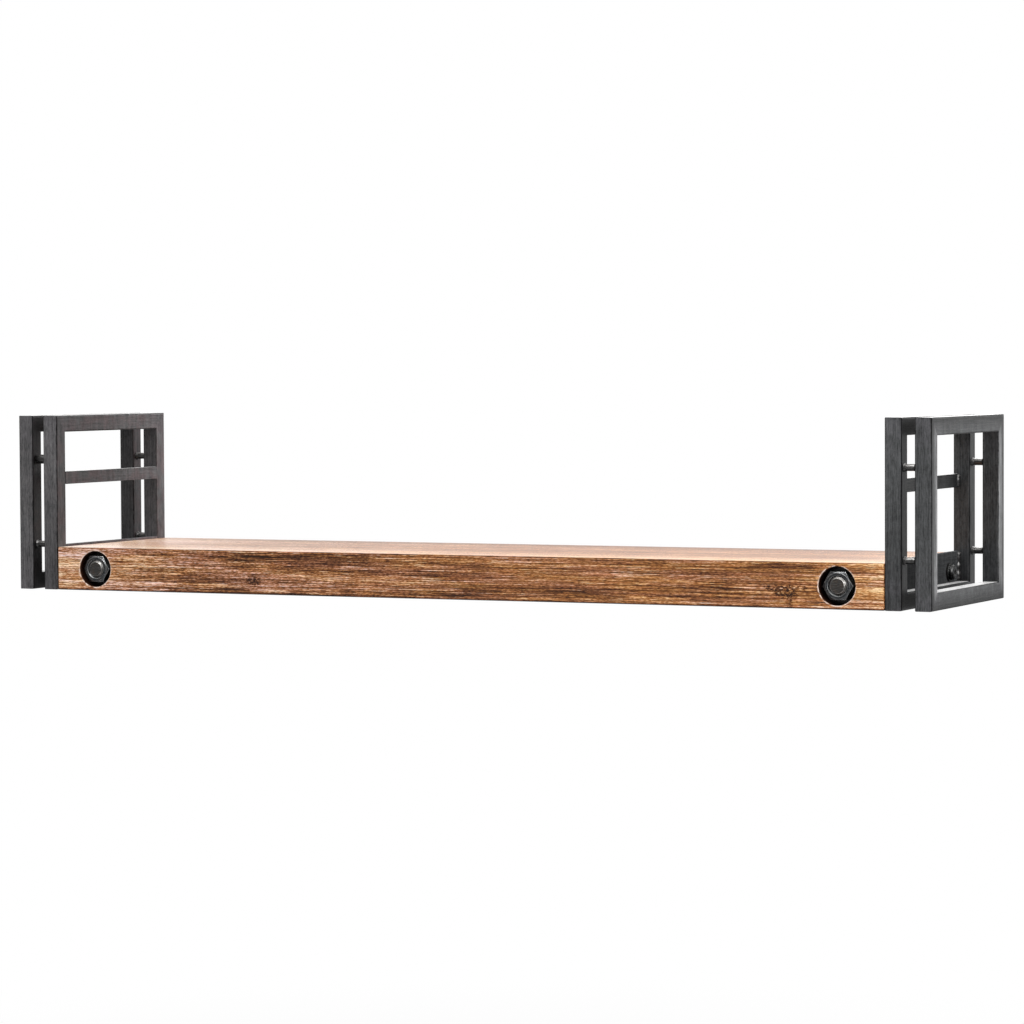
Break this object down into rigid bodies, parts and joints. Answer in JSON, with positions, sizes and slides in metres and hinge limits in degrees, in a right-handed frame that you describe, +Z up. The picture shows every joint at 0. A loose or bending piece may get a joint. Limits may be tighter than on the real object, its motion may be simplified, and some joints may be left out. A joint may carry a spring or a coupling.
{
  "type": "wall shelf",
  "caption": "Wall shelf with a thick wood plank held between end brackets of welded square steel tube, hung by keyholes in the rear posts.",
  "frame": {"origin": "middle of the shelf's underside: half its width, half its depth, at the bottom of the end frames", "axes": "+X along the plank, +Y from the front edge towards the wall, +Z up"},
  "size_m": [0.9144, 0.198, 0.165],
  "materials": {
    "plank_wood": "wire-brushed hardwood with a satin warm brown stain",
    "frame_steel": "satin dark gunmetal with light wear on the arrises",
    "stud_steel": "dark blackened steel",
    "screw_steel": "dark blackened steel",
    "insert_brass": "plain turned brass"
  },
  "bodies": {
    "root": {"plank": "plank_wood", "front_studs": "stud_steel", "front_nuts": "stud_steel", "front_washers": "stud_steel", "end_screws": "screw_steel", "end_screw_washers": "screw_steel", "threaded_inserts": "insert_brass", "left_inner_front_post": "frame_steel", "left_inner_rear_post": "frame_steel", "left_inner_top_rail": "frame_steel", "left_inner_bottom_rail": "frame_steel", "left_outer_front_post": "frame_steel", "left_outer_rear_post": "frame_steel", "left_outer_top_rail": "frame_steel", "left_outer_bottom_rail": "frame_steel", "left_mid_bar": "frame_steel", "left_end_plate": "frame_steel", "left_lower_front_spacer": "frame_steel", "left_lower_rear_spacer": "frame_steel", "left_upper_front_spacer": "frame_steel", "left_upper_rear_spacer": "frame_steel", "right_inner_front_post": "frame_steel", "right_inner_rear_post": "frame_steel", "right_inner_top_rail": "frame_steel", "right_inner_bottom_rail": "frame_steel", "right_outer_front_post": "frame_steel", "right_outer_rear_post": "frame_steel", "right_outer_top_rail": "frame_steel", "right_outer_bottom_rail": "frame_steel", "right_mid_bar": "frame_steel", "right_end_plate": "frame_steel", "right_lower_front_spacer": "frame_steel", "right_lower_rear_spacer": "frame_steel", "right_upper_front_spacer": "frame_steel", "right_upper_rear_spacer": "frame_steel"}
  },
  "joints": []
}
